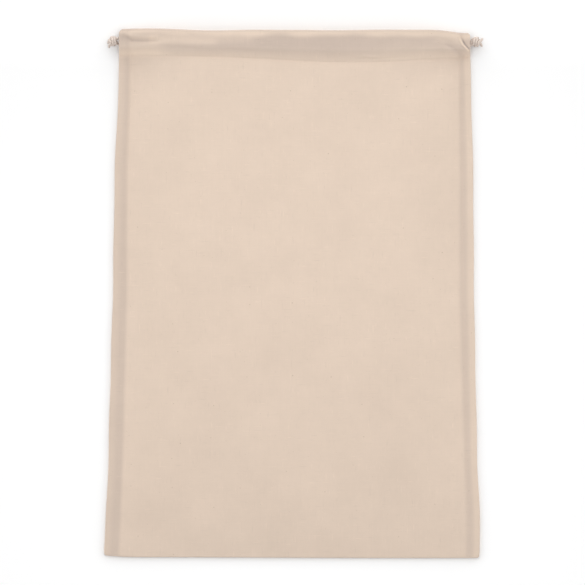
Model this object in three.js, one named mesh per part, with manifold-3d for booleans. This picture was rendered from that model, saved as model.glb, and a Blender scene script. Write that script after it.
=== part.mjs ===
// Unbleached cotton gift bag with two drawcords, lying flat on its back.
// Millimetres, +Z up. The mouth points along +Y and the front panel faces up.
// The origin is under the middle of the bag, on the surface that it lies on.

import * as THREE from 'three';
import { mergeVertices } from 'three/addons/utils/BufferGeometryUtils.js';
import Module from 'manifold-3d';

// Driving dimensions
const BAG_HEIGHT = 421.6; // bottom fold to the top folds of the casings
const CLOTH = 1; // one layer
const SEAM_ALLOWANCE = 10; // turned inside along each side
const BOTTOM_CORNER = 4; // radius of the bottom corners, seen from the front
const TOP_CORNER = 6; // radius of the top corners
const CASING_DEPTH = 25.2; // top fold to stitching, where that is deepest
const CASING_RAMP = 6; // from the stitching up to the casing's full thickness
const CORD_DIAMETER = 2.2;
const CORD_CLEARANCE = 0.3; // all round the cord, inside the casing
const CORD_SPREAD = 3.5; // each cord's distance from the middle line of the casing
const CORD_LINE = 9.8; // from the top folds down to that middle line
const SIDE_SLIT = 0.8; // between the two casings, at the side edges
const DRAPE_RUN = 50; // from the seam allowance in to the bag's full height
const END_SETBACK = 9.4; // how far the inner turn of a casing stops short of the side edge
const TURN_SETBACK = 6.6; // where a cord starts its turn there
const TURN_STEPS = 8;
const KNOT_SIZE = { along: 8.2, across: 8.8, high: 8.0 };
const KNOT_WRAP = 0.14; // depth of the grooves between wraps, as a share of the knot's radius
const KNOT_TWIST = 3.6; // how far the wraps slant, in radians from the knot's middle to its end

// Thicknesses and heights that follow from them
const SEAM_STACK = 4 * CLOTH; // two panels and two allowances
const TUNNEL = CORD_DIAMETER + 2 * CORD_CLEARANCE;
const CASING = TUNNEL + 2 * CLOTH;
const CASING_EXTRA = CASING - CLOTH;
const CASING_SIDES = 2 * CLOTH + CASING_EXTRA + SIDE_SLIT;
const STITCHING = BAG_HEIGHT - CASING_DEPTH;
const CORD_UP = BAG_HEIGHT - CORD_LINE;

// The outline and the loft, from the bottom fold up. up is the height above the fold,
// left and right the side edges out from the centre line, and middle how high the
// front panel stands in the middle.
const SECTIONS = [
  { up: 0, left: 152.0, right: 148.6, middle: 4.0 },
  { up: 24, left: 152.4, right: 148.8, middle: 8.0 },
  { up: 84, left: 149.4, right: 146.4, middle: 12.3 },
  { up: 205, left: 145.2, right: 144.2, middle: 12.6 },
  { up: 326, left: 143.0, right: 142.8, middle: 12.7 },
  { up: 390, left: 140.8, right: 141.2, middle: 12.8 },
  { up: BAG_HEIGHT, left: 140.2, right: 140.8, middle: 12.8 },
];

// Soft ridges and troughs in the front panel. Each runs from one point to another,
// fades out over its reach and stands up by its rise, or sinks where that is negative.
const FOLDS = [
  { x0: -137, up0: 417.5, x1: -106, up1: 418.5, reach: 3.2, rise: 0.8 },
  { x0: -135, up0: 413, x1: -112, up1: 413.5, reach: 2.8, rise: -0.7 },
  { x0: 123, up0: 411, x1: 138, up1: 398, reach: 3.6, rise: -0.8 },
  { x0: 133, up0: 417, x1: 139, up1: 405, reach: 2.4, rise: -0.6 },
  { x0: -138, up0: 395.4, x1: 138, up1: 395.4, reach: 2.6, rise: -0.3 },
  { x0: -124, up0: 384, x1: -66, up1: 312, reach: 13, rise: 0.5 },
  { x0: 122, up0: 380, x1: 72, up1: 296, reach: 15, rise: 0.5 },
  { x0: -38, up0: 372, x1: -24, up1: 240, reach: 17, rise: 0.4 },
  { x0: 24, up0: 190, x1: 46, up1: 60, reach: 18, rise: 0.4 },
  { x0: -128, up0: 34, x1: -84, up1: 86, reach: 12, rise: 0.5 },
  { x0: 126, up0: 30, x1: 88, up1: 78, reach: 12, rise: 0.4 },
];

// Where the top folds sink below their full height.
const TOP_DIPS = [
  { x: -148, reach: 16, depth: 1.0 },
  { x: 140, reach: 15, depth: 2.4 },
];

// The stitching is lowest at x and bows up to both sides of it, up to rise.
// The cloth below it follows, less and less, over fade.
const STITCHING_BOW = { x: 45, reach: 80, rise: 4.4, fade: 60 };

// How far a casing's tunnel is open, across it from the cord line.
const TUNNEL_ROWS = [
  { offset: -9.4, open: 0 },
  { offset: -8, open: 0.75 },
  { offset: -5.2, open: 1 },
  { offset: -CORD_SPREAD, open: 1 },
  { offset: 0, open: 1 },
  { offset: CORD_SPREAD, open: 1 },
  { offset: 5.2, open: 1 },
  { offset: 6.8, open: 0.7 },
  { offset: 8, open: 0 },
];

// The open pocket at each end of the casings, across it from the cord line. It is
// wider than the tunnels by its slack.
const POCKET_ROWS = [-6.4, -4, 0, 4, 6.2];
const POCKET_SLACK = 0.1;

// The cut ends that stand out of each knot: how far out from the bag, across and up.
const KNOT_TAILS = [
  { side: -1, out: 3.4, across: -4.6, up: -1.6 },
  { side: -1, out: 4.2, across: -1.2, up: -2.4 },
  { side: 1, out: 6.6, across: 2.0, up: -1.2 },
  { side: 1, out: 5.8, across: -3.2, up: -2.2 },
];

// Stations across the bag, as distances in from a side edge, and how many lie between.
const FROM_SIDES = [0, 0.7, 2, SEAM_ALLOWANCE - 1.2, SEAM_ALLOWANCE + 0.8, 20, 32, 48, 68];
const BETWEEN = 5;

// Rows up the bag: how many on its outside and inside, and those of the casings, which
// are its ramp and where the cords lie.
const OUTSIDE_ROWS = 20;
const INSIDE_ROWS = 16;
const CASING_ROWS = [
  ...[2, 4].map((d) => STITCHING + d),
  ...TUNNEL_ROWS.filter((row) => row.open === 1).map((row) => CORD_UP + row.offset),
];
const CUT_PAST = 6; // how far room that is cut out runs on past the edges

const COTTON = new THREE.MeshStandardMaterial({ color: 0xe4d0be, roughness: 0.95, metalness: 0 });
const CORD_COTTON = new THREE.MeshStandardMaterial({ color: 0xdac6b6, roughness: 0.95, metalness: 0 });

const wasm = await Module();
wasm.setup();

const { clamp, degToRad, lerp, smoothstep } = THREE.MathUtils;

// A column of the section table at any height: a cubic with no overshoot between rows.
function along(column, up) {
  const last = SECTIONS.length - 2;
  const found = SECTIONS.findIndex((row, i) => i <= last && up <= SECTIONS[i + 1].up);
  const i = found < 0 ? last : found;
  const grade = (j) => {
    const [a, b] = [SECTIONS[j], SECTIONS[j + 1]];
    return (b[column] - a[column]) / (b.up - a.up);
  };
  const tangent = (j) => {
    if (j === 0 || j > last) return grade(Math.min(j, last));
    const [before, after] = [grade(j - 1), grade(j)];
    return before * after <= 0 ? 0 : (2 * before * after) / (before + after);
  };
  const run = SECTIONS[i + 1].up - SECTIONS[i].up;
  const t = clamp((up - SECTIONS[i].up) / run, 0, 1);
  const rest = 1 - t;
  const ends = SECTIONS[i][column] * (1 + 2 * t) * rest * rest
    + SECTIONS[i + 1][column] * (1 + 2 * rest) * t * t;
  return ends + run * t * rest * (tangent(i) * rest - tangent(i + 1) * t);
}

// A quarter circle: 0 at an edge, rising to 1 at the radius and beyond.
function roundOff(distance, radius) {
  const t = 1 - clamp(distance / radius, 0, 1);
  return Math.sqrt(1 - t * t);
}

// A bell curve: 1 in the middle, fading to nothing.
function bell(distance, reach) {
  return Math.exp(-((distance / reach) ** 2));
}

// The two side edges at a height.
function sideEdges(up) {
  const inset = BOTTOM_CORNER * (1 - roundOff(up, BOTTOM_CORNER))
    + TOP_CORNER * (1 - roundOff(BAG_HEIGHT - up, TOP_CORNER));
  return { left: inset - along('left', up), right: along('right', up) - inset };
}

// 0 in the bag's body, 1 in the casings.
function casingShare(up) {
  return smoothstep(up, STITCHING, STITCHING + CASING_RAMP);
}

// The height that the ridges and troughs add at a point of the front panel.
function foldRise(x, up) {
  const here = new THREE.Vector3(x, up, 0);
  const nearest = new THREE.Vector3();
  return FOLDS.reduce((sum, fold) => {
    const from = new THREE.Vector3(fold.x0, fold.up0, 0);
    const to = new THREE.Vector3(fold.x1, fold.up1, 0);
    new THREE.Line3(from, to).closestPointToPoint(here, true, nearest);
    return sum + fold.rise * bell(here.distanceTo(nearest), fold.reach);
  }, 0);
}

// The outer height of the front panel's own layer, without what the casing adds.
function panelHeight(x, up) {
  const { left, right } = sideEdges(up);
  const sides = lerp(SEAM_STACK, CASING_SIDES, casingShare(up));
  const fromSide = Math.min(x - left, right - x);
  const t = clamp((fromSide - SEAM_ALLOWANCE) / DRAPE_RUN, 0, 1);
  const rise = Math.max(along('middle', up) - sides, 0) * t * (2 - t);
  return sides + rise + foldRise(x, up) * smoothstep(fromSide, 0, SEAM_STACK);
}

// The top of the front casing, or of the front panel below it.
function frontHeight(x, up) {
  return panelHeight(x, up) + CASING_EXTRA * casingShare(up);
}

// How much of the stitching's bow the cloth has at a height: none at the cord line.
function bowShare(up) {
  if (up < STITCHING) return smoothstep(up, STITCHING - STITCHING_BOW.fade, STITCHING);
  return clamp((CORD_UP - up) / (CORD_UP - STITCHING), 0, 1);
}

// A point on the bag: the top folds dip near the corners, the stitching bows, and the
// cloth around them follows.
function place(x, up, z) {
  const dip = TOP_DIPS.reduce((sum, d) => sum + d.depth * bell(x - d.x, d.reach), 0);
  const bow = STITCHING_BOW.rise * (1 - bell(x - STITCHING_BOW.x, STITCHING_BOW.reach));
  const moved = bow * bowShare(up) - dip * smoothstep(up, STITCHING, BAG_HEIGHT);
  return new THREE.Vector3(x, up - BAG_HEIGHT / 2 + moved, z);
}

// Stations between two ends, close together near both.
function spaced(from, to, count) {
  return Array.from({ length: count + 1 }, (_, i) => {
    return lerp(from, to, (1 - Math.cos((Math.PI * i) / count)) / 2);
  });
}

// Stations around a fold of a given radius, from its edge to where it runs straight.
function roundFold(edge, radius, inward) {
  return [0, 30, 60, 90].map((angle) => edge + inward * radius * (1 - Math.cos(degToRad(angle))));
}

// Stations across the bag: set distances in from each side, and evenly between those.
// Room that is cut out past the side edges starts and ends beyond them.
function across({ left, right }, beyond = 0) {
  const inner = FROM_SIDES.slice(1);
  const last = inner[inner.length - 1];
  const leftSide = [left - beyond, ...inner.map((d) => left + d)];
  const rightSide = [right + beyond, ...inner.map((d) => right - d)].reverse();
  const middle = Array.from({ length: BETWEEN }, (_, i) => {
    return lerp(left + last, right - last, (i + 1) / (BETWEEN + 1));
  });
  return [...leftSide, ...middle, ...rightSide];
}

// The closed body between an upper and a lower surface over one grid of points.
// Each surface is a list of rows, and the rows run the same way on both.
function bodyBetween(upper, lower) {
  const rows = upper.length;
  const columns = upper[0].length;
  const points = [...upper.flat(), ...lower.flat()];
  const top = (r, c) => r * columns + c;
  const base = (r, c) => rows * columns + top(r, c);
  const index = [];
  const quad = (a, b, c, d) => index.push(a, b, c, a, c, d);
  for (let r = 0; r + 1 < rows; r += 1) {
    for (let c = 0; c + 1 < columns; c += 1) {
      quad(top(r, c), top(r, c + 1), top(r + 1, c + 1), top(r + 1, c));
      quad(base(r, c), base(r + 1, c), base(r + 1, c + 1), base(r, c + 1));
    }
    quad(base(r, 0), top(r, 0), top(r + 1, 0), base(r + 1, 0));
    const end = columns - 1;
    quad(top(r, end), base(r, end), base(r + 1, end), top(r + 1, end));
  }
  for (let c = 0; c + 1 < columns; c += 1) {
    quad(top(0, c), base(0, c), base(0, c + 1), top(0, c + 1));
    const end = rows - 1;
    quad(base(end, c), top(end, c), top(end, c + 1), base(end, c + 1));
  }
  const geometry = new THREE.BufferGeometry().setFromPoints(points);
  return geometry.setIndex(index);
}

// A closed geometry as a solid that can be cut and joined.
function toSolid(geometry) {
  const bare = geometry.clone();
  bare.deleteAttribute('normal');
  bare.deleteAttribute('uv');
  const welded = mergeVertices(bare, 1e-4);
  const corners = welded.index.array;
  const kept = [];
  for (let i = 0; i < corners.length; i += 3) {
    const [a, b, c] = corners.slice(i, i + 3);
    if (a !== b && b !== c && c !== a) kept.push(a, b, c);
  }
  const vertProperties = new Float32Array(welded.attributes.position.array);
  const triVerts = new Uint32Array(kept);
  return new wasm.Manifold(new wasm.Mesh({ numProp: 3, vertProperties, triVerts }));
}

// A solid as a named mesh.
function toMesh(name, solid, material) {
  const { vertProperties, triVerts } = solid.getMesh();
  const geometry = new THREE.BufferGeometry();
  geometry.setAttribute('position', new THREE.BufferAttribute(new Float32Array(vertProperties), 3));
  geometry.setIndex(new THREE.BufferAttribute(new Uint32Array(triVerts), 1));
  geometry.computeVertexNormals();
  const mesh = new THREE.Mesh(geometry, material);
  mesh.name = name;
  return mesh;
}

// The filled outer form of the bag: rounded side edges, a rounded bottom fold and
// rounded top folds, flat where it lies on the surface.
function outerForm() {
  const fold = SEAM_STACK / 2;
  const topFold = CASING / 2;
  const rows = [
    ...roundFold(0, fold, 1),
    ...spaced(fold, STITCHING, OUTSIDE_ROWS).slice(1),
    ...CASING_ROWS,
    ...roundFold(BAG_HEIGHT, topFold, -1).reverse(),
  ];
  const surface = (side) => rows.map((up) => {
    const { left, right } = sideEdges(up);
    return across({ left, right }).map((x) => {
      const rounded = roundOff(Math.min(x - left, right - x), fold) * roundOff(up, fold);
      const full = lerp(rounded, 1, casingShare(up));
      const turn = topFold * (1 - roundOff(BAG_HEIGHT - up, topFold));
      if (side === 'front') return place(x, up, lerp(fold, frontHeight(x, up), full) - turn);
      return place(x, up, lerp(fold, 0, full) + turn);
    });
  });
  return toSolid(bodyBetween(surface('front'), surface('back')));
}

// The room inside, between the seam allowances and out through the mouth. Above the
// stitching it runs out past both sides, because the two casings aren't sewn together.
function insideRoom() {
  const topFold = CASING / 2 - CORD_CLEARANCE;
  const rows = [
    ...spaced(1.5 * CLOTH, STITCHING, INSIDE_ROWS),
    ...CASING_ROWS,
    ...roundFold(BAG_HEIGHT, topFold, -1).slice(1).reverse(),
    BAG_HEIGHT + CUT_PAST,
  ];
  const surface = (side) => rows.map((up) => {
    const { left, right } = sideEdges(Math.min(up, BAG_HEIGHT));
    const slit = smoothstep(up, STITCHING, STITCHING + CASING_RAMP / 2);
    const inset = lerp(SEAM_ALLOWANCE, 0, slit);
    return across({ left: left + inset, right: right - inset }, CUT_PAST * slit).map((x) => {
      const turn = topFold * (1 - roundOff(BAG_HEIGHT - up, topFold));
      if (side === 'front') return place(x, up, panelHeight(x, up) - CLOTH + turn);
      return place(x, up, CLOTH + CASING_EXTRA * casingShare(up) - turn);
    });
  });
  return toSolid(bodyBetween(surface('front'), surface('back')));
}

// The middle height of a casing's tunnel.
function tunnelHeight(panel, x, up) {
  return panel === 'front' ? frontHeight(x, up) - CASING / 2 : CASING / 2;
}

// The tunnel through one casing, from side to side.
function casingTunnel(panel) {
  const surface = (side) => TUNNEL_ROWS.map(({ offset, open }) => {
    const up = CORD_UP + offset;
    return across(sideEdges(up), CUT_PAST / 2).map((x) => {
      return place(x, up, tunnelHeight(panel, x, up) + (side * open * TUNNEL) / 2);
    });
  });
  return toSolid(bodyBetween(surface(1), surface(-1)));
}

// The open pocket at one end of the casings, where a cord turns from one to the other:
// the inner turns of both casings stop short of the side edge there.
function endPocket(side) {
  const half = TUNNEL / 2 + POCKET_SLACK;
  const surface = (panel) => POCKET_ROWS.map((offset) => {
    const up = CORD_UP + offset;
    const { left, right } = sideEdges(up);
    const stations = [-END_SETBACK, END_SETBACK / 2, END_SETBACK].map((d) => {
      return side < 0 ? left + d : right - d;
    });
    return stations.sort((a, b) => a - b).map((x) => {
      return place(x, up, tunnelHeight(panel, x, up) + (panel === 'front' ? half : -half));
    });
  });
  return toSolid(bodyBetween(surface('front'), surface('back')));
}

function bagCloth() {
  return [insideRoom(), casingTunnel('front'), casingTunnel('back'), endPocket(-1), endPocket(1)]
    .reduce((bag, room) => bag.subtract(room), outerForm());
}

// A route whose steps follow its own points, so that bends get more of them.
class CordRoute extends THREE.CatmullRomCurve3 {
  getUtoTmapping(u) {
    return u;
  }
}

// A round cord along a list of points.
function cordAlong(points) {
  const sides = 8;
  const section = new THREE.Shape(Array.from({ length: sides }, (_, i) => {
    const angle = (2 * Math.PI * i) / sides;
    return new THREE.Vector2(Math.cos(angle), Math.sin(angle)).multiplyScalar(CORD_DIAMETER / 2);
  }));
  const extrudePath = new CordRoute(points, false, 'centripetal');
  const steps = points.length - 1;
  return toSolid(new THREE.ExtrudeGeometry(section, { steps, extrudePath, bevelEnabled: false }));
}

// The middle of a knot, just outside one top corner of the bag. It lies on the surface.
function knotCentre(side) {
  const edges = sideEdges(CORD_UP);
  const edge = side < 0 ? edges.left : edges.right;
  const centre = place(edge, CORD_UP, KNOT_SIZE.high / 2 + CORD_CLEARANCE);
  return centre.setX(edge + side * (KNOT_SIZE.along / 2 + CORD_CLEARANCE));
}

// The route of the cord that is knotted on one side: out of the knot into the front
// casing, round inside its far end and back through the back casing to the knot.
function cordRoute(side) {
  const knot = knotCentre(side);
  const edges = sideEdges(CORD_UP);
  const far = side < 0 ? edges.right : edges.left;
  const near = side < 0 ? edges.left : edges.right;
  const frontUp = CORD_UP - side * CORD_SPREAD;
  const backUp = CORD_UP + side * CORD_SPREAD;
  const turnStart = far + side * TURN_SETBACK;
  const inside = (x) => (x - turnStart) * side > CORD_DIAMETER && (near - x) * side > CORD_CLEARANCE;
  const stations = across(edges).filter(inside);
  if (side > 0) stations.reverse();
  const front = stations.map((x) => place(x, frontUp, tunnelHeight('front', x, frontUp)));
  const back = stations.map((x) => place(x, backUp, tunnelHeight('back', x, backUp))).reverse();
  const enter = place(turnStart, frontUp, tunnelHeight('front', turnStart, frontUp));
  const leave = place(turnStart, backUp, tunnelHeight('back', turnStart, backUp));
  const centre = enter.clone().add(leave).multiplyScalar(0.5);
  const radius = enter.distanceTo(leave) / 2;
  const turn = Array.from({ length: TURN_STEPS + 1 }, (_, i) => {
    const angle = (Math.PI * i) / TURN_STEPS;
    const point = centre.clone().addScaledVector(enter.clone().sub(centre), Math.cos(angle));
    return point.add(new THREE.Vector3(-side * radius * Math.sin(angle), 0, 0));
  });
  return [knot, ...front, ...turn, ...back, knot];
}

// An overhand knot of two cord ends, drawn tight: an oval lump with slanting wraps.
function knotLump(side) {
  const lump = new THREE.SphereGeometry(1, 22, 14);
  const radii = new THREE.Vector3(KNOT_SIZE.along, KNOT_SIZE.across, KNOT_SIZE.high).multiplyScalar(0.5);
  const position = lump.attributes.position;
  const point = new THREE.Vector3();
  for (let i = 0; i < position.count; i += 1) {
    point.fromBufferAttribute(position, i).normalize();
    const round = Math.atan2(point.z, point.y);
    const girth = Math.hypot(point.y, point.z);
    const wrap = Math.abs(Math.cos(round + side * KNOT_TWIST * point.x));
    point.multiplyScalar(1 - KNOT_WRAP * girth * (1 - wrap)).multiply(radii);
    position.setXYZ(i, point.x, point.y, point.z);
  }
  const centre = knotCentre(side);
  return toSolid(lump.translate(centre.x, centre.y, centre.z));
}

// The cut ends that stand out of one knot.
function knotTails(side) {
  const start = knotCentre(side);
  return KNOT_TAILS.filter((tail) => tail.side === side).map((tail) => {
    const tip = start.clone().add(new THREE.Vector3(side * tail.out, tail.across, tail.up));
    return cordAlong([start, start.clone().lerp(tip, 0.5), tip]);
  });
}

function drawcord(side) {
  return [knotLump(side), ...knotTails(side)]
    .reduce((cord, piece) => cord.add(piece), cordAlong(cordRoute(side)));
}

const bag = new THREE.Group();
bag.add(toMesh('bag_cloth', bagCloth(), COTTON));
bag.add(toMesh('drawcord_left', drawcord(-1), CORD_COTTON));
bag.add(toMesh('drawcord_right', drawcord(1), CORD_COTTON));

export default bag;
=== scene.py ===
import math

import bpy
import numpy as np
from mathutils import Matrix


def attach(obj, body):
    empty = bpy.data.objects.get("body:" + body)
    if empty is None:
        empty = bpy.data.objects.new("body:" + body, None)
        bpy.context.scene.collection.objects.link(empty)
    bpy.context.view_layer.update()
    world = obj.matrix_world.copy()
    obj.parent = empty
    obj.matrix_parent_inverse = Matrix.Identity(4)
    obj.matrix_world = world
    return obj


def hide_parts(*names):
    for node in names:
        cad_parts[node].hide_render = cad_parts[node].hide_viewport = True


bl_info = {
    "name": "Cotton gift bag",
    "version": (1, 0, 0),
    "blender": (4, 5, 0),
    "location": "3D View > Sidebar > Gift bag",
    "description": "An unbleached cotton drawstring bag, lying flat on its back",
    "category": "Add Mesh",
}

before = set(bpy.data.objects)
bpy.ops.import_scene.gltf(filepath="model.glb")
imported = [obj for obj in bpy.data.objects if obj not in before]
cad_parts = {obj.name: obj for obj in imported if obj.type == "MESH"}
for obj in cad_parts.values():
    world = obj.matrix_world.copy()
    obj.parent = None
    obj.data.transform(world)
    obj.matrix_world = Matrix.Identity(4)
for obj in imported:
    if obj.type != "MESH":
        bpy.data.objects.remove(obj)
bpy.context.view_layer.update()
BODY = "root"
MM = 0.001

# The bag's shape in millimetres. It follows the part's source, but this cloth is thinner than
# the solid's and lies lower at the seams, near the bottom and over the cords. up is the height
# above the bottom fold, x is across, and z is above the surface that the bag lies on.
BAG_HEIGHT = 421.6
SOLID_CLOTH = 1.0
SEAM_ALLOWANCE = 10.0
SEAM_STACK = 2.7
BOTTOM_CORNER = 2.2
BOTTOM_FOLD = 0.9
TOP_CORNERS = {"left": 4.0, "right": 2.6}
DRAPE_RUN = 50.0
CASING_DEPTH = 26.1
CASING_RAMP = 10.4
CASING_RISE = 3.1
CASING_BEND = 0.5
SIDE_SLIT = 0.8
END_SETBACK = 10.0
CORD_LINE = 9.8
CORD_SPREAD = 3.5
CORD_ROOM = 2.8
CORD_SETTLE = 0.55
TURN_SETBACK = 6.6
KNOT_HEIGHT = 4.3
KNOT_LIFTS = {-1: 0.5, 1: 1.9}

CASING = CORD_ROOM + 2 * SOLID_CLOTH
CASING_EXTRA = CASING - SOLID_CLOTH
CASING_SIDES = 2 * SOLID_CLOTH + CASING_EXTRA + SIDE_SLIT
TOP_FOLD = (CASING_RISE + SOLID_CLOTH) / 2
STITCHING = BAG_HEIGHT - CASING_DEPTH
CORD_UP = BAG_HEIGHT - CORD_LINE
CORD_SEAT = CASING_EXTRA - CASING / 2 - CORD_SETTLE

# How much lower a cord lies near the front casing's ends, or higher near the back one's, and
# how far from the side that is full and none.
CORD_DROOP = dict(most=1.1, full=5, none=11)
CORD_LIFT = dict(most=0.2, full=6.5, none=9.5)

# How the stitching draws the front down: less at the casing's loose left end, where its ramp is
# longer, in a soft hollow that starts in from the sides, in a groove under the thread and with
# small puckers. It draws the back up a little.
LOOSE_END = dict(tension=0.1, loose=-112, firm=-64, before=8, after=4)
HOLLOW = dict(depth=0.3, below=1.0, reach=2.6, none=12, full=20)
GROOVE = dict(depth=0.3, back=0.2, reach=1.1)
PUCKERS = dict(height=0.14, reach=3.5)

# The dip along the inner edge of a seam allowance, how far below the stitching it fades, and the
# height below which all unevenness fades towards the bottom fold.
SEAM_DIP = dict(depth=0.25, past=1.0, reach=2.4, fade=8)
FLAT_BOTTOM = 8.0

# The side edges out from the centre line, and how high the front panel stands.
SECTIONS = [
    dict(up=0.0, left=152.4, right=148.6, middle=2.6),
    dict(up=24.0, left=151.0, right=148.8, middle=5.2),
    dict(up=84.0, left=148.3, right=146.4, middle=9.0),
    dict(up=205.0, left=145.2, right=144.2, middle=12.6),
    dict(up=326.0, left=142.6, right=142.8, middle=12.7),
    dict(up=390.0, left=140.0, right=141.2, middle=12.8),
    dict(up=BAG_HEIGHT, left=140.2, right=140.8, middle=12.8),
]

# How far the seam allowances reach in from the side edges.
ALLOWANCES = [
    dict(up=0.0, left=12.2, right=11.4),
    dict(up=21.6, left=12.0, right=11.2),
    dict(up=85.6, left=11.6, right=10.4),
    dict(up=205.6, left=11.6, right=12.0),
    dict(up=325.6, left=9.6, right=10.8),
    dict(up=389.6, left=8.8, right=9.2),
    dict(up=BAG_HEIGHT, left=8.0, right=8.4),
]

# Soft ridges and troughs of the front panel.
FOLDS = [
    dict(line=((-137, 417.5), (-106, 418.5)), reach=3.2, rise=0.8),
    dict(line=((-129, 411.6), (-112, 412)), reach=2.6, rise=-0.7),
    dict(line=((123, 411), (136.8, 399)), reach=3.6, rise=-0.8),
    dict(line=((133, 417), (139, 405)), reach=2.4, rise=-0.6),
    dict(line=((-124, 384), (-66, 312)), reach=13, rise=0.5),
    dict(line=((122, 380), (72, 296)), reach=15, rise=0.5),
    dict(line=((-38, 372), (-24, 240)), reach=17, rise=0.4),
    dict(line=((24, 190), (46, 60)), reach=18, rise=0.4),
    dict(line=((-128, 34), (-84, 86)), reach=12, rise=0.5),
    dict(line=((126, 30), (88, 78)), reach=12, rise=0.4),
]

# A sharp crease by the right knot, and the ridge beside it.
KNOT_CREASE = ((133.4, 418.4), (136.6, 411.6), (139.8, 405.8))
KNOT_RIDGE = ((131.8, 417.6), (135.2, 410.2), (139.6, 403.2))

# Finer creases of the casing, too small for the solid.
CREASES = [
    dict(line=((-133.5, 414.8), (-129, 412.4), (-120, 411.2), (-110, 411.8)), reach=1.3, rise=-0.3),
    dict(line=((-135, 417.8), (-130, 415.8), (-122, 414.6), (-110, 415)), reach=1.4, rise=0.45),
    dict(line=((-104, 405.6), (-70, 404.4), (-34, 402.0)), reach=3.2, rise=-0.3),
    dict(line=((120.5, 411.6), (126, 408.8), (130, 405.5)), reach=1.2, rise=0.3),
    dict(line=((122, 409.6), (127, 406.6), (136, 398.6)), reach=1.9, rise=-0.5),
    dict(line=KNOT_CREASE, reach=0.8, rise=-0.3),
    dict(line=KNOT_RIDGE, reach=0.8, rise=0.8),
    dict(line=((57, 400.2), (61, 399.4), (66, 399.6)), reach=0.8, rise=0.45),
    dict(line=((48, 397.6), (92, 398.4)), reach=0.8, rise=-0.3),
]

# Where the casing is painted paler or deeper: painted shade in its creases and in the wedge by the right
# knot, painted highlight on the roll at its left end and on the ridge by the right knot, and paler or deeper
# patches elsewhere.
TONES_AND_PAINTED_SHADE = [
    dict(line=((-144, 402), (-116, 402)), reach=13, change=-0.72),
    # Painted shade in the trough under the left roll, then painted highlight on the roll.
    dict(line=((-133, 414.6), (-129, 412.2), (-120, 411.0), (-110, 411.6)), reach=1.5, change=0.3),
    dict(line=((-134, 417.2), (-128, 414.9), (-112, 414.6)), reach=1.5, change=-0.5),
    dict(line=((-110, 413.0), (-66, 413.0)), reach=5, change=-0.75),
    dict(line=((-58, 414.5), (-36, 415)), reach=4, change=-0.35),
    dict(line=((76, 402), (140, 402)), reach=13, change=-0.3),
    # Painted shade in the wedge by the right knot.
    dict(line=((124, 408.6), (128, 405), (134, 398)), reach=2.4, change=0.3),
    dict(line=((116, 415), (132, 414)), reach=4, change=-0.4),
    # Painted shade in the crease by the right knot, and painted highlight on its ridge.
    dict(line=KNOT_CREASE, reach=0.7, change=1.7),
    dict(line=KNOT_RIDGE, reach=0.7, change=-1.1),
]

# Where the panel below the casing looks a little deeper: painted shade.
PAINTED_SHADES = [
    dict(line=((-130, 389), (-106, 391)), reach=13, change=0.16),
    dict(line=((86, 392), (128, 392)), reach=8, change=0.14),
]

# How much deeper the cloth looks over the seam allowances, and at their outer rims.
SEAM_TONES = {"left": dict(band=0.64, rim=0.34), "right": dict(band=0.52, rim=-0.2)}

# Where the top folds and the bottom fold lie lower than a straight line, or higher.
TOP_DIPS = [
    dict(x=-120, reach=26, depth=-0.9),
    dict(x=-64, reach=24, depth=0.9),
    dict(x=-8, reach=26, depth=0.4),
    dict(x=34, reach=24, depth=0.7),
    dict(x=88, reach=30, depth=0.3),
    dict(x=137, reach=15.5, depth=2.6),
]
BOTTOM_DIPS = [
    dict(x=-158, reach=16, depth=-1.6),
    dict(x=100, reach=160, depth=0.8),
]
BOTTOM_FADE = 60.0
STITCHING_BOW = dict(x=45, reach=80, rise=5.3, fade=60)

# The cut ends of each knot: how far out from the knot's middle, across and up.
KNOT_TAILS = {
    -1: ((3.4, -4.6, -1.6), (4.2, -1.2, -2.4)),
    1: ((5.2, 2.2, -1.2), (4.8, -3.2, -2.2)),
}


def linear(hex_colour):
    """An sRGB hex colour as linear red, green and blue."""
    parts = [int(hex_colour[i:i + 2], 16) / 255 for i in (1, 3, 5)]
    return tuple(c / 12.92 if c <= 0.04045 else ((c + 0.055) / 1.055) ** 2.4 for c in parts)


class GiftBagSizes(bpy.types.PropertyGroup):
    """Sizes of the sewn pieces"""

    cloth: bpy.props.FloatProperty(
        name="Cloth", description="Thickness of one layer of cloth", default=0.0005, unit="LENGTH")
    seam_roll: bpy.props.FloatProperty(
        name="Seam roll", description="Radius in which the cloth turns in at the side seams",
        default=0.00031, unit="LENGTH")
    hem_roll: bpy.props.FloatProperty(
        name="Hem roll", description="Radius in which the cloth turns in at the casing ends",
        default=0.00046, unit="LENGTH")
    cord: bpy.props.FloatProperty(
        name="Cord", description="Diameter of the drawcords", default=0.0022, unit="LENGTH")
    cord_lay: bpy.props.FloatProperty(
        name="Cord lay", description="Length of cord in which its strands turn once",
        default=0.0066, unit="LENGTH")
    stitch_length: bpy.props.FloatProperty(
        name="Stitch", description="Length of one stitch", default=0.0024, unit="LENGTH")
    stitch_pitch: bpy.props.FloatProperty(
        name="Stitch pitch", description="From one stitch to the next", default=0.0029, unit="LENGTH")
    thread: bpy.props.FloatProperty(
        name="Thread", description="Thickness of the sewing thread", default=0.00036, unit="LENGTH")
    fray: bpy.props.FloatProperty(
        name="Fray", description="Length of the loose fibres at the cut cord ends",
        default=0.0011, unit="LENGTH")
    fibre: bpy.props.FloatProperty(
        name="Fibre", description="Thickness of a loose tuft of fibres", default=0.00022, unit="LENGTH")


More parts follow.
